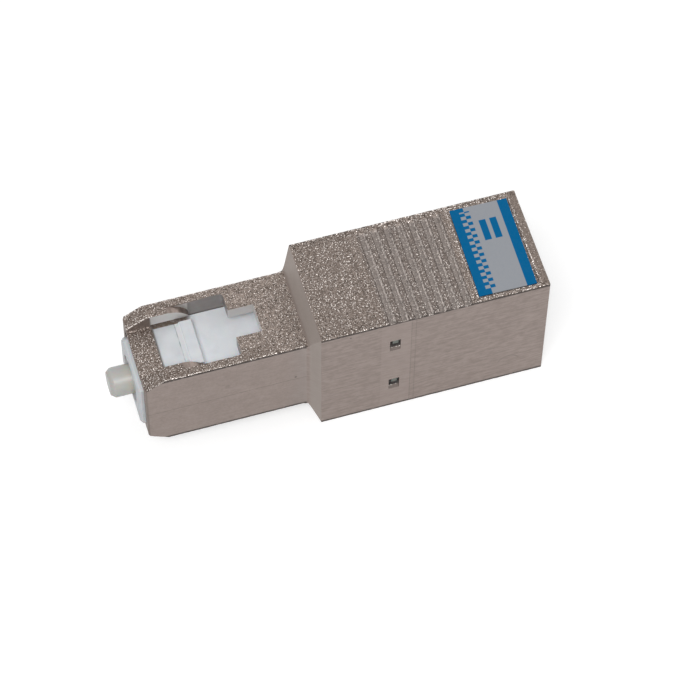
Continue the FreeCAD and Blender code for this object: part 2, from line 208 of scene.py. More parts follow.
def finish_of(face):
    """Grain on the top, the underside and their rounded edges, drawn sides, painted highlights on the rim
    round the label.
    """
    middle = face.calc_center_median()
    rise = middle.z - axis_height
    outward = face.normal.z * math.copysign(1.0, rise)
    on_cam = cam_front < middle.x < cam_back and plug_half_height - abs(rise) > cam_drop
    if on_cam and abs(middle.y) < plug_half_width - cam_inset and outward > cam_slope:
        return CAM
    lowest = bridge_rise if middle.x < plug_foot else axis_height - rounded_border
    steepest = groove_wall_steepness if middle.x > grooves_start else step_steepness
    if abs(rise) > lowest and outward > grain_slope and abs(face.normal.x) < steepest:
        return CAST
    by_label = (label_low.x - label_margin < middle.x < label_high.x + label_margin
                and abs(middle.y) < label_high.y + label_margin and middle.z > label_low.z)
    if by_label and abs(face.normal.z) < rim_slope:
        return GLINT_RIM
    return INNER if is_inside(middle, rise) else DRAWN


def is_slim(face):
    """One of the many narrow facets of a rounded edge, which fewer and wider ones can make."""
    return face.calc_area() < slim_width * max(edge.calc_length() for edge in face.edges) / 2


def once_each(items):
    """The items without repeats and in a fixed order, so that each run cuts the same mesh."""
    return list(dict.fromkeys(items))


def cut_into_strips(faces, axis, low, high):
    """Cut faces across one axis, one strip for each grain, and return what they became."""
    direction = Vector((0, 0, 0))
    direction[axis] = 1.0
    done = []
    for number in range(1, int((high - low) / grain_pitch) + 1):
        place = low + number * grain_pitch
        ahead = [face for face in faces if max(corner.co[axis] for corner in face.verts) > place]
        done += [face for face in faces if max(corner.co[axis] for corner in face.verts) <= place]
        parts = ahead + once_each(edge for face in ahead for edge in face.edges)
        parts += once_each(corner for face in ahead for corner in face.verts)
        cut = bmesh.ops.bisect_plane(skin, geom=parts, dist=cut_tolerance, plane_co=direction * place,
                                     plane_no=direction)
        faces = [item for item in cut["geom"] if isinstance(item, bmesh.types.BMFace)]
        faces = [face for face in faces if face.material_index == CAST]
    return done + faces


def meets_slope(corner):
    """True where a grainy face runs into a smooth sloping one, which has to stay flat."""
    smooth_faces = [face for face in corner.link_faces if face.material_index != CAST]
    return any(abs(face.normal.z) > smooth_slope for face in smooth_faces)


def grain_at(place):
    """Height of the mould's grain at a place in millimetres, from 0 to 1."""
    coarse = coarse_grain_share * rough_noise.noise(place * coarse_grain_per_mm)
    fine = fine_grain_share * rough_noise.noise(place * fine_grain_per_mm)
    return 0.5 + 0.5 * math.tanh(grain_contrast * (coarse + fine))


def piece_from(shape, name):
    """Finished shape as a piece in the scene."""
    mesh = bpy.data.meshes.new(name)
    shape.to_mesh(mesh)
    shape.free()
    piece = bpy.data.objects.new(name, mesh)
    scene.collection.objects.link(piece)
    return piece


def keep_sides_flat(piece):
    """Shade the large faces as flat ones, up to the rounded edges beside them."""
    flat_sides = piece.modifiers.new("flat_sides", "WEIGHTED_NORMAL")
    flat_sides.keep_sharp = True
    flat_sides.weight = 100


skin = bmesh.new()
skin.from_mesh(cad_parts["housing"].data)
bmesh.ops.remove_doubles(skin, verts=skin.verts, dist=weld_distance)
skin.normal_update()
for face in skin.faces:
    face.material_index = finish_of(face)
    face.smooth = True
slim = [face for face in skin.faces if is_slim(face)]
bmesh.ops.dissolve_limit(skin, angle_limit=rounding_step, delimit={"MATERIAL"},
                         verts=once_each(corner for face in slim for corner in face.verts),
                         edges=once_each(edge for face in slim for edge in face.edges))
bmesh.ops.dissolve_limit(skin, angle_limit=flattest_bend, delimit={"MATERIAL"}, verts=skin.verts,
                         edges=skin.edges)
skin.normal_update()
grainy = [face for face in skin.faces if face.material_index == CAST]
grainy = cut_into_strips(grainy, 0, house_low.x, house_high.x)
grainy = cut_into_strips(grainy, 1, house_low.y, house_high.y)
skin.normal_update()
for corner in once_each(corner for face in grainy for corner in face.verts):
    if corner.co.x > block_front and corner.co.z > axis_height:
        share = (corner.co.y - far_rim_start) / (far_rim_full - far_rim_start)
        corner.co.z += far_rim_fill * min(max(share, 0.0), 1.0) * (house_high.z - corner.co.z)
    if not meets_slope(corner):
        inward = math.copysign(grain_depth, axis_height - corner.co.z)
        corner.co.z += inward * grain_at(mm(corner.co))
bmesh.ops.triangulate(skin, faces=skin.faces)
bmesh.ops.dissolve_degenerate(skin, dist=shortest_edge, edges=skin.edges)
for edge in skin.edges:
    same_finish = len({face.material_index for face in edge.link_faces}) == 1
    edge.smooth = same_finish and edge.calc_face_angle(0.0) < sharpest_bend
casting = piece_from(skin, "die_cast_body")
keep_sides_flat(casting)


def texture_place(tree):
    """Position on the piece in millimetres."""
    coordinates = tree.nodes.new("ShaderNodeTexCoord")
    scaled = tree.nodes.new("ShaderNodeVectorMath")
    scaled.operation = "SCALE"
    wire(tree, scaled.inputs[0], coordinates.outputs["Object"])
    scaled.inputs["Scale"].default_value = mm(1.0)
    return scaled.outputs[0]


def axes(tree, vector):
    """The three parts of a vector."""
    node = tree.nodes.new("ShaderNodeSeparateXYZ")
    wire(tree, node.inputs[0], vector)
    return node.outputs[0], node.outputs[1], node.outputs[2]


def stretched(tree, place, x, y, z):
    """The same place with each axis scaled, for marks that run along the piece."""
    node = tree.nodes.new("ShaderNodeVectorMath")
    node.operation = "MULTIPLY"
    wire(tree, node.inputs[0], place)
    node.inputs[1].default_value = (x, y, z)
    return node.outputs[0]


def noise(tree, place, per_mm, detail, rough):
    """Soft random pattern, from 0 to 1."""
    node = tree.nodes.new("ShaderNodeTexNoise")
    wire(tree, node.inputs["Vector"], place)
    node.inputs["Scale"].default_value = per_mm
    node.inputs["Detail"].default_value = detail
    node.inputs["Roughness"].default_value = rough
    return node.outputs[0]


def mixed(tree, first, second, share):
    """Two patterns in one, with the share of the first one."""
    return calc(tree, "MULTIPLY_ADD", first, share, times(tree, second, 1.0 - share))


def spread(tree, value, low, high, to_low=0.0, to_high=1.0):
    """Carry a range of values over to another, with soft ends."""
    node = tree.nodes.new("ShaderNodeMapRange")
    node.interpolation_type = "SMOOTHSTEP"
    for socket, number in zip(node.inputs, (value, low, high, to_low, to_high)):
        wire(tree, socket, number)
    return node.outputs[0]


def band(tree, value, low, high, soft):
    """1 between two values, with soft ends."""
    return times(tree, spread(tree, value, low - soft, low + soft),
                 spread(tree, value, high + soft, high - soft))


def both(tree, *masks):
    """Where all masks hold."""
    result = masks[0]
    for mask in masks[1:]:
        result = times(tree, result, mask)
    return result


def either(tree, *masks):
    """Where any mask holds."""
    result = masks[0]
    for mask in masks[1:]:
        result = calc(tree, "MAXIMUM", result, mask)
    return result


def apart(tree, first, second):
    """How far two values lie apart."""
    return calc(tree, "ABSOLUTE", calc(tree, "SUBTRACT", first, second))


def away_from(tree, first, second, point):
    """Distance on a flat side from one point of it."""
    first_way = calc(tree, "POWER", calc(tree, "SUBTRACT", first, point[0]), 2.0)
    second_way = calc(tree, "POWER", calc(tree, "SUBTRACT", second, point[1]), 2.0)
    return calc(tree, "SQRT", calc(tree, "ADD", first_way, second_way))


def tint(tree, amount, first, second):
    """Colour between two others."""
    node = tree.nodes.new("ShaderNodeMix")
    node.data_type = "RGBA"
    wire(tree, node.inputs[0], amount)
    wire(tree, node.inputs[6], first)
    wire(tree, node.inputs[7], second)
    return node.outputs[2]


def stained(tree, colour, mask, share, stain):
    """Colour with a share of another one laid over it where the mask holds."""
    return tint(tree, times(tree, mask, share), colour, stain)


def bumped(tree, height, depth):
    """Surface normal of a relief whose full height is depth, in metres."""
    node = tree.nodes.new("ShaderNodeBump")
    node.inputs["Distance"].default_value = depth
    wire(tree, node.inputs["Height"], height)
    return node.outputs[0]


def new_finish(name):
    """Empty material with its node tree and shader."""
    material = bpy.data.materials.new(name)
    material.use_nodes = True
    return material, material.node_tree, material.node_tree.nodes["Principled BSDF"]


# Cast skin of the top and the underside: dark pits and bright crests, painted glints, painted highlights
# along the edges, painted shade at the foot of one groove wall and just behind the other, and painted light
# on that other wall. Places on it are in millimetres.
block_face = mm(block_front)
block_side = mm(house_high.y)
block_top = mm(axis_height)
plug_back = mm(plug_foot)
plug_side = mm(plug_half_width)
plug_top = mm(plug_half_height)
bridge_end = -13.6
channel_side = 2.4
rough_border = 4.15
groove_first = 4.35
groove_pitch = 1.05
groove_width = 0.58
groove_wall = 0.06
groove_count = 7
grooves_front = groove_first - 0.2
grooves_back = groove_first + groove_count * groove_pitch - 0.3
foot_start = 0.02
foot_end = 0.09
floor_start = 0.12
floor_end = groove_width - groove_wall
lit_wall_start = floor_end - 0.02
shade_start = groove_width + 0.045
shade_end = groove_width + 0.10
recess_middle = mm((label_low.x + label_high.x) / 2)
recess_half_length = 2.605
recess_half_width = 4.43
recess_back = recess_middle + recess_half_length
glint_reach = 0.2
glint_full = 0.06
glint_fade = 2.0
under_shade_reach = 0.03
under_shade_full = 0.015
grain_pits = (0.070, 0.053, 0.043, 1)
grain_crests = (0.320, 0.262, 0.228, 1)
dull_grain = (0.070, 0.054, 0.045, 1)
clouded_nickel = (0.20, 0.165, 0.145, 1)
block_shade = (0.100, 0.080, 0.070, 1)
rear_rim_nickel = (0.170, 0.137, 0.118, 1)
nose_brown = (0.135, 0.103, 0.085, 1)
near_rim_brown = (0.090, 0.068, 0.056, 1)
groove_floor = (0.286, 0.256, 0.237, 1)
groove_grey = (0.200, 0.195, 0.200, 1)
groove_shade = (0.055, 0.045, 0.039, 1)
glint_highlight = (0.95, 0.87, 0.82, 1)
lit_wall_highlight = (0.84, 0.765, 0.72, 1)
under_edge_shade = (0.050, 0.039, 0.034, 1)

cast_nickel, tree, metal = new_finish("cast_nickel")
place = texture_place(tree)
along, across, up = axes(tree, place)
beside = calc(tree, "ABSOLUTE", across)
fine = noise(tree, place, per_mm=11.5, detail=2.0, rough=0.6)
coarse = noise(tree, place, per_mm=4.8, detail=2.0, rough=0.6)
flecks = noise(tree, place, per_mm=9.5, detail=1.5, rough=0.65)
cloudy = noise(tree, place, per_mm=0.6, detail=3.0, rough=0.5)
lumpy = mixed(tree, fine, coarse, share=0.6)
on_block = spread(tree, along, plug_back, block_face)
on_plug = spread(tree, along, plug_back, plug_back - 0.1)
grooved = both(tree, spread(tree, up, block_top, block_top + 1.0),
               spread(tree, across, mm(far_rim_full), mm(far_rim_start)),
               band(tree, along, grooves_front, grooves_back, soft=0.05))
step = calc(tree, "FLOORED_MODULO", calc(tree, "SUBTRACT", along, groove_first), groove_pitch)
shaded_foot = both(tree, band(tree, step, foot_start, foot_end, soft=0.02), grooved)
floors = both(tree, band(tree, step, floor_start, floor_end, soft=0.03), grooved)
lit_wall = both(tree, band(tree, step, lit_wall_start, groove_width, soft=0.02), grooved)
behind_wall = both(tree, band(tree, step, shade_start, shade_end, soft=0.02), grooved)
lands = both(tree, band(tree, step, groove_width, groove_pitch, soft=0.03), grooved)
# Painted highlights: bands along the top edges of the block and the plug, round the label's recess and
# beside the channel, where more glints are painted.
block_edges = both(tree, spread(tree, beside, block_side - glint_reach, block_side - glint_full), on_block,
                   spread(tree, along, groove_first - glint_fade, groove_first + glint_fade, to_low=0.5))
plug_edges = both(tree, spread(tree, beside, plug_side - glint_reach, plug_side - glint_full), on_plug)
past_recess_end = calc(tree, "SUBTRACT", apart(tree, along, recess_middle), recess_half_length)
past_recess_side = calc(tree, "SUBTRACT", beside, recess_half_width)
recess_edges = band(tree, either(tree, past_recess_end, past_recess_side), 0.0, 0.08, soft=0.03)
channel_edges = both(tree, band(tree, across, channel_side - 0.08, channel_side + 0.12, soft=0.03),
                     spread(tree, along, bridge_end + 0.3, bridge_end))
glinting_edges = either(tree, block_edges, plug_edges, lit_wall, recess_edges,
                    times(tree, channel_edges, 1.8))
behind_label = spread(tree, along, recess_back + 0.1, recess_back + 0.2)
nose = spread(tree, along, bridge_end + 7.0, bridge_end, to_high=0.6)
border = either(tree, both(tree, spread(tree, beside, rough_border, rough_border + 0.2), on_block), nose)
near_rim = both(tree, on_plug, spread(tree, across, 0.1 - channel_side, -0.1 - channel_side),
                spread(tree, along, -3.0, -6.0, to_high=0.32))
ahead_of_grooves = both(tree, on_block, spread(tree, along, groove_first, groove_first - 0.6, to_high=0.10))
# Painted glints: bright specks of highlight laid into the colour, more along the edges, fewer on the groove
# floors and behind the label.
sparkling = flecks
for mask, more in ((floors, -0.035), (glinting_edges, 0.07), (behind_label, -0.05), (nose, 0.02)):
    sparkling = calc(tree, "MULTIPLY_ADD", mask, more, sparkling)
glint = spread(tree, sparkling, 0.595, 0.675)
lit_wall_spots = both(tree, spread(tree, lumpy, 0.42, 0.56), spread(tree, coarse, 0.38, 0.54, to_low=0.3))
# Painted shade on the lower half of the rounded top edges, broken by noise.
under_edge = either(
    tree, both(tree, spread(tree, beside, block_side - under_shade_reach, block_side - under_shade_full), on_block),
    both(tree, spread(tree, beside, plug_side - under_shade_reach, plug_side - under_shade_full), on_plug))
colour = tint(tree, spread(tree, lumpy, 0.37, 0.61), grain_pits, grain_crests)
colour = tint(tree, spread(tree, cloudy, 0.35, 0.75, to_high=0.25), colour, clouded_nickel)
colour = stained(tree, colour, on_block, 0.22, block_shade)
colour = stained(tree, colour, behind_label, 0.5, rear_rim_nickel)
colour = stained(tree, colour, border, spread(tree, coarse, 0.56, 0.40, to_high=0.6), dull_grain)
colour = stained(tree, colour, nose, 0.55, nose_brown)
colour = tint(tree, near_rim, colour, near_rim_brown)
colour = tint(tree, ahead_of_grooves, colour, dull_grain)
colour = stained(tree, colour, floors, 0.40, groove_floor)
colour = stained(tree, colour, lands, 0.24, dull_grain)
colour = stained(tree, colour, grooved, 0.10, groove_grey)
colour = tint(tree, glint, colour, glint_highlight)
# Painted shade: a dark line just behind each lit groove wall and a darker one at the foot of each hidden
# wall.
colour = stained(tree, colour, behind_wall, 0.62, groove_shade)
colour = stained(tree, colour, shaded_foot, 0.82, groove_shade)
# Painted light in spots on the groove walls that face the lamps; these walls are also made less metallic.
colour = stained(tree, colour, lit_wall, lit_wall_spots, lit_wall_highlight)
colour = stained(tree, colour, under_edge, spread(tree, coarse, 0.60, 0.45, to_low=0.3, to_high=0.95),
                 under_edge_shade)
wire(tree, metal.inputs["Base Color"], colour)
wire(tree, metal.inputs["Metallic"], spread(tree, lit_wall, 0.0, 1.0, to_low=0.85, to_high=0.2))
wire(tree, metal.inputs["Roughness"], spread(tree, glint, 0.0, 1.0, to_low=0.46, to_high=0.26))
wire(tree, metal.inputs["Normal"], bumped(tree, lumpy, depth=0.00005))

# Drawn skin of the sides and the shoulder: fine streaks along the part, calmer on the plug, with
# the lines of the mould's slider, ejector and parting, painted shade under the top edges and a painted
# reflection beside the shoulder. Places are in millimetres.
slider_start = 3.75
slider_end = 6.25
slider_gap = 0.37
line_width = 0.06
ejector_place = (14.85, 2.35)
ejector_radius = 0.90
parting_low = 6.30
parting_high = 6.36
rim_head = 0.05
rim_foot = 0.28
nose_front = mm(house_low.x)
dot_place = (1.15, 12.28)
nick_place = (-3.15, 6.58)
smudge_place = (-8.85, 7.78)
dark_streak = (0.266, 0.216, 0.193, 1)
light_streak = (0.345, 0.283, 0.256, 1)
plug_dark_streak = (0.292, 0.239, 0.215, 1)
plug_light_streak = (0.347, 0.284, 0.256, 1)
shoulder_reflection_grey = (0.340, 0.300, 0.282, 1)
clouded_side = (0.270, 0.221, 0.198, 1)
slider_nickel = (0.345, 0.283, 0.258, 1)
shoulder_nickel = (0.345, 0.298, 0.270, 1)
nose_shade = (0.150, 0.120, 0.105, 1)
marks_and_rim_shade = (0.055, 0.043, 0.037, 1)

drawn_nickel, tree, metal = new_finish("drawn_nickel")
place = texture_place(tree)
along, across, up = axes(tree, place)
beside = calc(tree, "ABSOLUTE", across)
above = apart(tree, up, block_top)
drawn = noise(tree, stretched(tree, place, 0.8, 1.0, 6.0), per_mm=1.0, detail=4.0, rough=0.62)
blotchy = noise(tree, place, per_mm=1.5, detail=4.0, rough=0.6)
cloudy = noise(tree, place, per_mm=0.45, detail=4.0, rough=0.55)
broken = noise(tree, place, per_mm=3.0, detail=3.0, rough=0.6)
speckled = noise(tree, place, per_mm=4.5, detail=3.0, rough=0.65)
satin = mixed(tree, drawn, blotchy, share=0.65)
on_block = spread(tree, beside, block_side - 0.06, block_side - 0.04)
on_plug = both(tree, band(tree, beside, plug_side - 0.1, plug_side + 0.05, soft=0.02),
               spread(tree, along, plug_back + 0.1, plug_back))
# Painted reflection: the plug's sides turn greyer towards the foot of the shoulder.
by_shoulder = spread(tree, along, plug_back - 2.2, plug_back - 0.2, to_high=0.7)
slider = both(tree, band(tree, along, slider_start, slider_end, soft=0.06), on_block)
shoulder = both(tree, spread(tree, along, plug_back - 0.05, plug_back + 0.25),
                spread(tree, along, block_face, block_face - 0.06))
nose_edge = spread(tree, along, nose_front + 0.16, nose_front + 0.1, to_high=0.6)
second_line = slider_end + slider_gap
slider_lines = either(tree, band(tree, along, slider_end, slider_end + line_width, soft=0.04),
                      band(tree, along, second_line, second_line + line_width, soft=0.04))
from_ejector = apart(tree, away_from(tree, along, up, ejector_place), ejector_radius)
ejector = both(tree, spread(tree, from_ejector, 0.12, 0.03),
               spread(tree, up, ejector_place[1], ejector_place[1] + 0.6))
wavering_up = calc(tree, "MULTIPLY_ADD", cloudy, 0.12, up)
parting = both(tree, band(tree, wavering_up, parting_low, parting_high, soft=0.03), on_plug)
parting = times(tree, parting, 1.6)
mould_lines = either(tree, both(tree, either(tree, slider_lines, ejector), on_block), parting)
mould_lines = both(tree, mould_lines, spread(tree, broken, 0.3, 0.6, to_low=0.08, to_high=0.30))
# Painted shade: a broken dark band just under the top edges of the block and the plug, in the same dark as
# the mould lines and marks.
block_rim = both(tree, band(tree, above, block_top - rim_foot, block_top - rim_head, soft=0.02), on_block)
plug_rim = both(tree, band(tree, above, plug_top - rim_foot, plug_top - rim_head, soft=0.02), on_plug)
rims = both(tree, either(tree, block_rim, plug_rim), spread(tree, broken, 0.30, 0.48, to_low=0.45))
near_side = spread(tree, across, -1.0, -2.0)
dot = spread(tree, away_from(tree, along, up, dot_place), 0.11, 0.05)
nick = spread(tree, away_from(tree, along, up, nick_place), 0.14, 0.05)
smudge = times(tree, spread(tree, away_from(tree, along, up, smudge_place), 0.35, 0.05), 0.3)
marks = times(tree, both(tree, either(tree, dot, nick, smudge), near_side), 0.7)
plug_colour = tint(tree, spread(tree, speckled, 0.30, 0.70), plug_dark_streak, plug_light_streak)
plug_colour = tint(tree, by_shoulder, plug_colour, shoulder_reflection_grey)
colour = tint(tree, spread(tree, satin, 0.36, 0.64), dark_streak, light_streak)
colour = stained(tree, colour, on_plug, 0.7, plug_colour)
colour = tint(tree, spread(tree, cloudy, 0.35, 0.75, to_high=0.3), colour, clouded_side)
colour = stained(tree, colour, slider, 0.5, slider_nickel)
colour = stained(tree, colour, shoulder, 0.85, shoulder_nickel)
colour = tint(tree, nose_edge, colour, nose_shade)
colour = tint(tree, either(tree, mould_lines, rims, marks), colour, marks_and_rim_shade)
wire(tree, metal.inputs["Base Color"], colour)
wire(tree, metal.inputs["Metallic"], spread(tree, shoulder, 0.0, 1.0, to_low=0.5, to_high=0.2))
wire(tree, metal.inputs["Roughness"], spread(tree, satin, 0.3, 0.7, to_low=0.60, to_high=0.52))
wire(tree, metal.inputs["Normal"], bumped(tree, satin, depth=0.0000025))

# Rim of the label's recess: painted highlights broken up by noise,
# over a dark base between them.
rim_dark = (0.16, 0.13, 0.115, 1)
rim_highlight = (0.90, 0.88, 0.86, 1)

glinting_rim, tree, metal = new_finish("glinting_rim")
place = texture_place(tree)
broken = noise(tree, place, per_mm=3.2, detail=3.0, rough=0.6)
wire(tree, metal.inputs["Base Color"], tint(tree, spread(tree, broken, 0.38, 0.60), rim_dark, rim_highlight))
metal.inputs["Metallic"].default_value = 0.6
wire(tree, metal.inputs["Roughness"], spread(tree, broken, 0.3, 0.7, to_low=0.5, to_high=0.25))
wire(tree, metal.inputs["Normal"], bumped(tree, broken, depth=0.00003))

# Inside of the windows and the bores: dull plating, with a painted reflection of the white plastic beside
# the cams and in the tongue, darker over the bridge and on the sills of the snap windows, with a painted
# highlight along the sills' inner edge. Places are in millimetres.
cam_end = mm(cam_back)
sill_start = 4.5
tongue_start = -7.45
tongue_end = -2.0
tongue_side = 1.5
inside_dark = (0.25, 0.226, 0.216, 1)
inside_light = (0.31, 0.285, 0.272, 1)
white_reflection = (0.66, 0.635, 0.62, 1)
bridge_nickel = (0.205, 0.168, 0.150, 1)
sill_nickel = (0.150, 0.122, 0.109, 1)
sill_highlight = (0.62, 0.58, 0.55, 1)

inner_nickel, tree, metal = new_finish("inner_nickel")
place = texture_place(tree)
along, across, up = axes(tree, place)
beside = calc(tree, "ABSOLUTE", across)
cloudy = noise(tree, place, per_mm=0.8, detail=4.0, rough=0.55)
broken = noise(tree, place, per_mm=4.0, detail=2.0, rough=0.6)
tongue = both(tree, spread(tree, along, tongue_start, tongue_start + 0.1),
              spread(tree, along, tongue_end, tongue_end - 0.1),
              spread(tree, beside, tongue_side + 0.1, tongue_side))
reflecting_white = either(tree, band(tree, along, bridge_end, cam_end, soft=0.08), tongue)
over_bridge = spread(tree, along, bridge_end + 0.08, bridge_end - 0.08)
sills = spread(tree, beside, sill_start - 0.05, sill_start)
# Painted highlight, broken by noise, along the inner edge of each sill.
sill_edge = both(tree, band(tree, beside, sill_start - 0.02, sill_start + 0.07, soft=0.02),
                 spread(tree, broken, 0.46, 0.60))
colour = tint(tree, spread(tree, cloudy, 0.3, 0.7), inside_dark, inside_light)
# Painted reflection of the white plastic on the walls beside the cams and in the tongue.
colour = tint(tree, reflecting_white, colour, white_reflection)
colour = tint(tree, over_bridge, colour, bridge_nickel)
colour = tint(tree, sills, colour, sill_nickel)
colour = tint(tree, sill_edge, colour, sill_highlight)
wire(tree, metal.inputs["Base Color"], colour)
metal.inputs["Metallic"].default_value = 0.6
wire(tree, metal.inputs["Roughness"], spread(tree, cloudy, 0.3, 0.7, to_low=0.38, to_high=0.46))
wire(tree, metal.inputs["Normal"], bumped(tree, cloudy, depth=0.000008))

# Cam ledges beside the latch windows: the same plating, painted darker and a little smoother,
# with streaks along the part.
cam_dark = (0.140, 0.108, 0.092, 1)
cam_light = (0.240, 0.194, 0.172, 1)

dark_cam, tree, metal = new_finish("dark_cam")
place = texture_place(tree)
cam_streaks = noise(tree, stretched(tree, place, 4.0, 1.0, 1.0), per_mm=1.0, detail=4.0, rough=0.6)
wire(tree, metal.inputs["Base Color"], tint(tree, spread(tree, cam_streaks, 0.3, 0.7), cam_dark, cam_light))
metal.inputs["Metallic"].default_value = 0.6
wire(tree, metal.inputs["Roughness"], spread(tree, cam_streaks, 0.3, 0.7, to_low=0.36, to_high=0.48))
wire(tree, metal.inputs["Normal"], bumped(tree, cam_streaks, depth=0.000008))

for finish in (cast_nickel, drawn_nickel, glinting_rim, inner_nickel, dark_cam):
    casting.data.materials.append(finish)
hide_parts("housing")
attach(casting, "housing")


# Split sleeve: a slit tube of ground zirconia, slipped into its holder from behind. It lines up
# the ferrule of this part with the one that comes in.
ferrule_tip = mm(ferrule_low.x)
frame_front = mm(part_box("plug_frame")[0].x)
ceramic_dark = (0.420, 0.420, 0.398, 1)
ceramic_light = (0.452, 0.452, 0.430, 1)
ceramic_warm = (0.475, 0.462, 0.412, 1)
ceramic_tip_shade = (0.36, 0.36, 0.345, 1)

ceramic, tree, glaze = new_finish("zirconia")
place = texture_place(tree)
along, across, up = axes(tree, place)
ground = noise(tree, stretched(tree, place, 14.0, 1.5, 1.5), per_mm=1.0, detail=3.0, rough=0.6)
cloudy = noise(tree, place, per_mm=0.9, detail=3.0, rough=0.5)
by_frame = band(tree, along, frame_front - 0.55, frame_front + 0.2, soft=0.25)
# Painted shade: darker towards the ferrule's tip.
at_tip = spread(tree, along, ferrule_tip + 0.4, ferrule_tip + 0.1, to_high=0.6)
colour = tint(tree, spread(tree, cloudy, 0.3, 0.7), ceramic_dark, ceramic_light)
colour = tint(tree, by_frame, colour, ceramic_warm)
colour = tint(tree, at_tip, colour, ceramic_tip_shade)
wire(tree, glaze.inputs["Base Color"], colour)
wire(tree, glaze.inputs["Roughness"], spread(tree, ground, 0.3, 0.7, to_low=0.34, to_high=0.42))
glaze.inputs["IOR"].default_value = 2.1
glaze.inputs["Specular IOR Level"].default_value = 0.35
glaze.inputs["Subsurface Weight"].default_value = 0.5
glaze.inputs["Subsurface Scale"].default_value = 0.0005
wire(tree, glaze.inputs["Normal"], bumped(tree, ground, depth=0.0000006))
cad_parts["split_sleeve"].material_slots[0].material = ceramic


# Sleeve cap: the front half of the sleeve holder, moulded in white plastic. It goes into the
# receptacle first and rests on the step at the end of the socket.
white_shade = (0.635, 0.66, 0.685, 1)
plain_white = (0.695, 0.715, 0.74, 1)


def moulded_white(name):
    """White plastic with the fine grain of its mould; its colour may still get marks."""
    material, tree, plastic = new_finish(name)
    place = texture_place(tree)
    mould_grain = noise(tree, place, per_mm=9.0, detail=3.0, rough=0.6)
    cloudy = noise(tree, place, per_mm=0.6, detail=4.0, rough=0.55)
    colour = tint(tree, spread(tree, cloudy, 0.35, 0.7), white_shade, plain_white)
    wire(tree, plastic.inputs["Base Color"], colour)
    wire(tree, plastic.inputs["Roughness"], spread(tree, mould_grain, 0.2, 0.8, to_low=0.38, to_high=0.55))
    plastic.inputs["Specular IOR Level"].default_value = 0.35
    plastic.inputs["Subsurface Weight"].default_value = 0.2
    plastic.inputs["Subsurface Scale"].default_value = 0.0003
    wire(tree, plastic.inputs["Normal"], bumped(tree, mould_grain, depth=0.000008))
    return material, tree, plastic, place, colour


white = moulded_white("white_plastic")[0]
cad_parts["sleeve_cap"].material_slots[0].material = white


# Latch insert: the rear half of the sleeve holder, in the same white plastic. Its four teeth
# snap into the windows in the housing's sides, where painted shade darkens them, dark grey at the tips, and
# its two arms hold the plug that comes in.
tooth_start = 3.8
tooth_tip = 4.5
tooth_shade = (0.030, 0.031, 0.028, 1)
tooth_shade_grey = (0.18, 0.195, 0.172, 1)

shaded_white, tree, plastic, place, colour = moulded_white("white_plastic_shaded")
along, across, up = axes(tree, place)
beside = calc(tree, "ABSOLUTE", across)
# Painted shade on the teeth in the windows: dark deep in, dark grey at the tips.
colour = tint(tree, spread(tree, beside, tooth_start, tooth_start + 0.1), colour, tooth_shade)
colour = tint(tree, spread(tree, beside, tooth_tip - 0.1, tooth_tip), colour, tooth_shade_grey)
wire(tree, plastic.inputs["Base Color"], colour)
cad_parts["latch_insert"].material_slots[0].material = shaded_white


# Ferrule: a long rod of zirconia, ground round and polished, with both ends chamfered. It is
# pressed into its collar, and its tip stands out of the plug frame.
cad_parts["ferrule"].material_slots[0].material = ceramic


# Attenuating fibre: a thread of doped glass that takes out part of the light. It is cemented in
# the ferrule's bore and polished flush.
glass_dark = (0.55, 0.62, 0.66, 1)
glass_light = (0.68, 0.74, 0.78, 1)

glass, tree, core = new_finish("doped_glass")
place = texture_place(tree)
clouded = noise(tree, place, per_mm=4.0, detail=2.0, rough=0.5)
wire(tree, core.inputs["Base Color"], tint(tree, clouded, glass_dark, glass_light))
wire(tree, core.inputs["Roughness"], spread(tree, clouded, 0.2, 0.8, to_low=0.04, to_high=0.10))
core.inputs["Transmission Weight"].default_value = 0.6
core.inputs["IOR"].default_value = 1.46
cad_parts["attenuating_fibre"].material_slots[0].material = glass


# Ferrule collar: turned from bar, plated and pressed on the ferrule. Two notches for the keys in
# the plug frame keep it from turning.
turned_dark = (0.40, 0.37, 0.32, 1)
turned_light = (0.56, 0.53, 0.48, 1)

turned, tree, bar = new_finish("turned_metal")
place = texture_place(tree)
tool_marks = noise(tree, stretched(tree, place, 18.0, 0.6, 0.6), per_mm=1.0, detail=3.0, rough=0.6)
wire(tree, bar.inputs["Base Color"], tint(tree, tool_marks, turned_dark, turned_light))
wire(tree, bar.inputs["Roughness"], spread(tree, tool_marks, 0.25, 0.75, to_low=0.22, to_high=0.42))
bar.inputs["Metallic"].default_value = 1.0
wire(tree, bar.inputs["Normal"], bumped(tree, tool_marks, depth=0.000004))
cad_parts["ferrule_flange"].material_slots[0].material = turned


# Spring: stainless wire, coiled with its end turns closed, between the collar and the stop
# ring behind it. It shortens towards the stop ring when the ferrule is pushed back.
spring_low, spring_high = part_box("spring")
spring_wire_radius = 0.000175
spring_turns = 6
steps_per_turn = 48
wire_sides = 12
closed_turn = 0.8
closed_opening = 0.35
coil_radius = spring_high.y - spring_wire_radius
steel_dark = (0.42, 0.42, 0.43, 1)
steel_light = (0.58, 0.58, 0.58, 1)


def opening_at(turn):
    """How far the coil is open at a turn: closed at both ends, open between them."""
    from_end = min(turn, spring_turns - turn) - closed_turn
    return closed_opening + min(max(from_end, 0.0), 1.0)


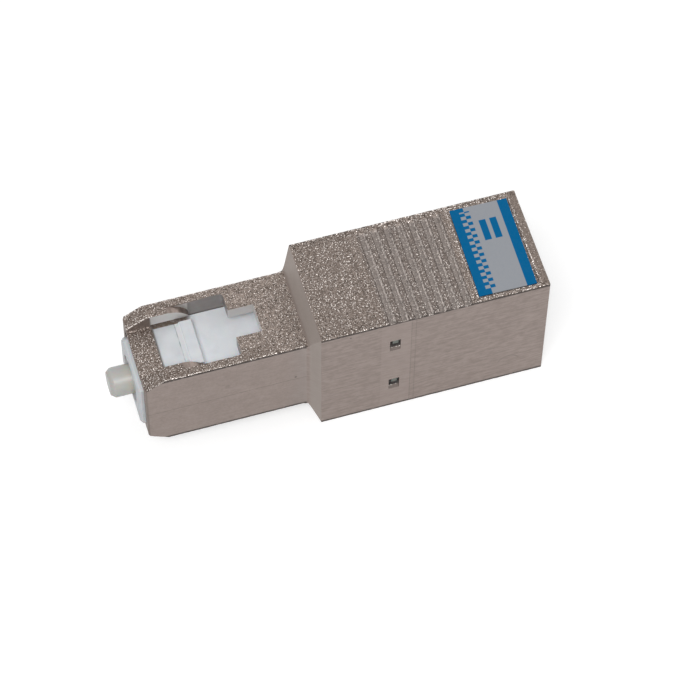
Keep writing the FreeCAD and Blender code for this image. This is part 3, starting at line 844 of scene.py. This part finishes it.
coil = bmesh.new()
openings = [opening_at(number / steps_per_turn) for number in range(spring_turns * steps_per_turn)]
stretch = (spring_high.x - spring_low.x - 2 * spring_wire_radius) / sum(openings)
reached = spring_low.x + spring_wire_radius
rings = []
for number in range(spring_turns * steps_per_turn + 1):
    turned_by = 2 * math.pi * number / steps_per_turn
    outwards = Vector((0, math.cos(turned_by), math.sin(turned_by)))
    middle = Vector((reached, 0, axis_height)) + outwards * coil_radius
    corners = []
    for side in range(wire_sides):
        angle = 2 * math.pi * side / wire_sides
        offset = outwards * math.cos(angle) + Vector((math.sin(angle), 0, 0))
        corners.append(coil.verts.new(middle + offset * spring_wire_radius))
    rings.append(corners)
    if number < len(openings):
        reached += openings[number] * stretch
for ring, following in zip(rings, rings[1:]):
    for side in range(wire_sides):
        after = (side + 1) % wire_sides
        coil.faces.new((ring[side], ring[after], following[after], following[side])).smooth = True
coil.faces.new(rings[0])
coil.faces.new(rings[-1])
bmesh.ops.recalc_face_normals(coil, faces=coil.faces)
spring = piece_from(coil, "ferrule_spring")

steel, tree, drawn_wire = new_finish("spring_steel")
place = texture_place(tree)
die_marks = noise(tree, place, per_mm=12.0, detail=3.0, rough=0.6)
wire(tree, drawn_wire.inputs["Base Color"], tint(tree, die_marks, steel_dark, steel_light))
wire(tree, drawn_wire.inputs["Roughness"], spread(tree, die_marks, 0.25, 0.75, to_low=0.20, to_high=0.36))
drawn_wire.inputs["Metallic"].default_value = 1.0
wire(tree, drawn_wire.inputs["Normal"], bumped(tree, die_marks, depth=0.000003))
spring.data.materials.append(steel)
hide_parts("spring")
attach(spring, "plug_frame")
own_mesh(spring)


# Stop ring: turned from bar and plated like the collar. It is snapped into the plug frame behind
# the spring and keeps the spring, the collar and the ferrule in.
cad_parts["spring_stop"].material_slots[0].material = turned


# Plug frame: the white moulding that slides in the plug sleeve. The mould rounds its front and its
# catch ridges. Dirt specks sit at the ridges' feet; painted shadow lies on the floor along the metal beside
# the channel and behind the bridge, with painted shade on the front part and painted light on the ramps and
# the rear floor.
ridge_rise = 0.003
ridge_rounding = 0.00014
front_rounding = 0.00006
front_depth = 0.0008
front_hole_reach = 0.0022
rounding_steps = 4
moulded_corner = math.radians(25)
ridge_foot = -11.65
ridge_top = -11.30
ridge_end = -10.20
rear_floor_start = -10.30
lit_rear_floor_white = (0.85, 0.87, 0.89, 1)
lit_ramp_white = (0.84, 0.86, 0.88, 1)
smear_grey = (0.47, 0.49, 0.52, 1)
front_shade_grey = (0.25, 0.26, 0.275, 1)
shadow_brown = (0.150, 0.115, 0.090, 1)
crease_dirt = (0.055, 0.040, 0.030, 1)


def crosses_ridge(edge):
    """Edge on the top of a catch ridge that runs across the moulding."""
    first, second = (corner.co for corner in edge.verts)
    level = abs(first.x - second.x) < shortest_edge and abs(first.z - second.z) < shortest_edge
    on_top = min(abs(first.z - axis_height), abs(second.z - axis_height)) > ridge_rise
    return level and on_top and ridge_foot < mm(first.x) < ridge_end


def is_front_edge(edge):
    """Edge of the moulding's front and of the chamfers round it, clear of the ferrule's hole."""
    from_axis = min(math.hypot(corner.co.y, corner.co.z - axis_height) for corner in edge.verts)
    furthest_back = max(mm(corner.co.x) for corner in edge.verts)
    return furthest_back < frame_front + mm(front_depth) and from_axis > front_hole_reach


moulding = bmesh.new()
moulding.from_mesh(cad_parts["plug_frame"].data)
bmesh.ops.remove_doubles(moulding, verts=moulding.verts, dist=weld_distance)
bmesh.ops.dissolve_limit(moulding, angle_limit=flattest_bend, verts=moulding.verts, edges=moulding.edges)
moulding.normal_update()
for belongs, rounding in ((crosses_ridge, ridge_rounding), (is_front_edge, front_rounding)):
    sharp = [edge for edge in moulding.edges if edge.is_convex and belongs(edge)
             and edge.calc_face_angle(0.0) > moulded_corner]
    bmesh.ops.bevel(moulding, geom=sharp, offset=rounding, offset_type="OFFSET", segments=rounding_steps,
                    profile=0.5, affect="EDGES", clamp_overlap=True)
    moulding.normal_update()
bmesh.ops.triangulate(moulding, faces=moulding.faces)
for face in moulding.faces:
    face.smooth = True
for edge in moulding.edges:
    edge.smooth = edge.calc_face_angle(0.0) < sharpest_bend
plug_moulding = piece_from(moulding, "moulded_plug_frame")
keep_sides_flat(plug_moulding)

marked_and_shaded_white, tree, plastic, place, colour = moulded_white("white_plastic_marks_and_shade")
along, across, up = axes(tree, place)
beside = calc(tree, "ABSOLUTE", across)
specks = noise(tree, place, per_mm=3.5, detail=2.0, rough=0.6)
smeared = noise(tree, stretched(tree, place, 1.0, 0.5, 1.0), per_mm=0.9, detail=3.0, rough=0.6)
crease = both(tree, band(tree, along, ridge_foot - 0.02, ridge_foot + 0.02, soft=0.03),
              spread(tree, specks, 0.46, 0.66, to_low=0.05, to_high=0.65))
# Painted shadow: brown bands on the white floor beside the channel's metal walls and behind the bridge.
channel_shadow = both(tree, band(tree, beside, channel_side + 0.06, channel_side + 0.7, soft=0.04),
             band(tree, along, bridge_end, cam_end, soft=0.3), spread(tree, specks, 0.3, 0.6, to_low=0.75))
by_bridge = times(tree, band(tree, along, bridge_end - 0.3, bridge_end + 0.2, soft=0.08), 0.75)
# Painted light on the ramp in front of each catch ridge.
ramp = band(tree, along, ridge_foot + 0.03, ridge_top, soft=0.02)
# Painted shade on the moulding ahead of the rear floor, strongest on the front face.
front_face = both(tree, spread(tree, along, frame_front + 0.3, frame_front, to_low=0.10, to_high=0.30),
                  spread(tree, along, rear_floor_start + 0.1, rear_floor_start))
# Painted light: the floor behind the ridges is made a little lighter.
rear_floor = spread(tree, along, rear_floor_start, rear_floor_start + 0.1, to_high=0.15)
smears = spread(tree, smeared, 0.52, 0.72, to_high=0.22)
colour = tint(tree, rear_floor, colour, lit_rear_floor_white)
colour = tint(tree, smears, colour, smear_grey)
colour = tint(tree, front_face, colour, front_shade_grey)
colour = tint(tree, ramp, colour, lit_ramp_white)
colour = tint(tree, either(tree, channel_shadow, by_bridge), colour, shadow_brown)
colour = tint(tree, crease, colour, crease_dirt)
wire(tree, plastic.inputs["Base Color"], colour)
plug_moulding.data.materials.append(marked_and_shaded_white)
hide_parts("plug_frame")
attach(plug_moulding, "plug_frame")


# Label: printed film with its own adhesive, laid a little askew by hand in the recess on the top.
# A grey field between two blue bands, a row of short bars that change colour where they cross the
# edge of the left band, and two plain bars on the field.
label_middle = mm((label_low + label_high) / 2)
label_turn = math.radians(0.9)
left_band_edge = label_middle.x - 1.30
right_band_edge = label_middle.x + 1.60
dash_pitch = 0.62
dash_reach = 0.42
dash_row_end = 3.85
first_bar = label_middle.x - 0.40
second_bar = label_middle.x + 0.50
bar_width = 0.57
bar_start = 0.75
bar_end = 2.75
ink_edge = 0.02
grey_print = (0.296, 0.308, 0.332, 1)
blue_print = (0.0, 0.112, 0.275, 1)
mottled_print = (0.09, 0.15, 0.21, 1)

film, tree, ink = new_finish("label_film")
place = texture_place(tree)
straight = tree.nodes.new("ShaderNodeVectorRotate")
straight.rotation_type = "Z_AXIS"
wire(tree, straight.inputs["Vector"], place)
straight.inputs["Center"].default_value = label_middle
straight.inputs["Angle"].default_value = label_turn
along, across, up = axes(tree, straight.outputs[0])
left_band = spread(tree, along, left_band_edge + ink_edge, left_band_edge - ink_edge)
right_band = spread(tree, along, right_band_edge - ink_edge, right_band_edge + ink_edge)
wave = calc(tree, "SINE", times(tree, across, 2 * math.pi / dash_pitch))
dashes = both(tree, spread(tree, wave, -0.2, 0.2), band(tree, across, -dash_row_end, dash_row_end, ink_edge),
              band(tree, along, left_band_edge - dash_reach, left_band_edge + dash_reach, ink_edge))
bars = either(tree, band(tree, along, first_bar, first_bar + bar_width, ink_edge),
              band(tree, along, second_bar, second_bar + bar_width, ink_edge))
bars = both(tree, bars, band(tree, across, bar_start, bar_end, ink_edge))
blue = either(tree, apart(tree, left_band, dashes), right_band, bars)
mottle = noise(tree, place, per_mm=5.0, detail=3.0, rough=0.6)
colour = tint(tree, blue, grey_print, blue_print)
colour = tint(tree, spread(tree, mottle, 0.3, 0.8, to_high=0.06), colour, mottled_print)
wire(tree, ink.inputs["Base Color"], colour)
wire(tree, ink.inputs["Roughness"], spread(tree, mottle, 0.25, 0.75, to_low=0.40, to_high=0.52))
ink.inputs["Specular IOR Level"].default_value = 0.05
wire(tree, ink.inputs["Normal"], bumped(tree, mottle, depth=0.000004))
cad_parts["label"].material_slots[0].material = film
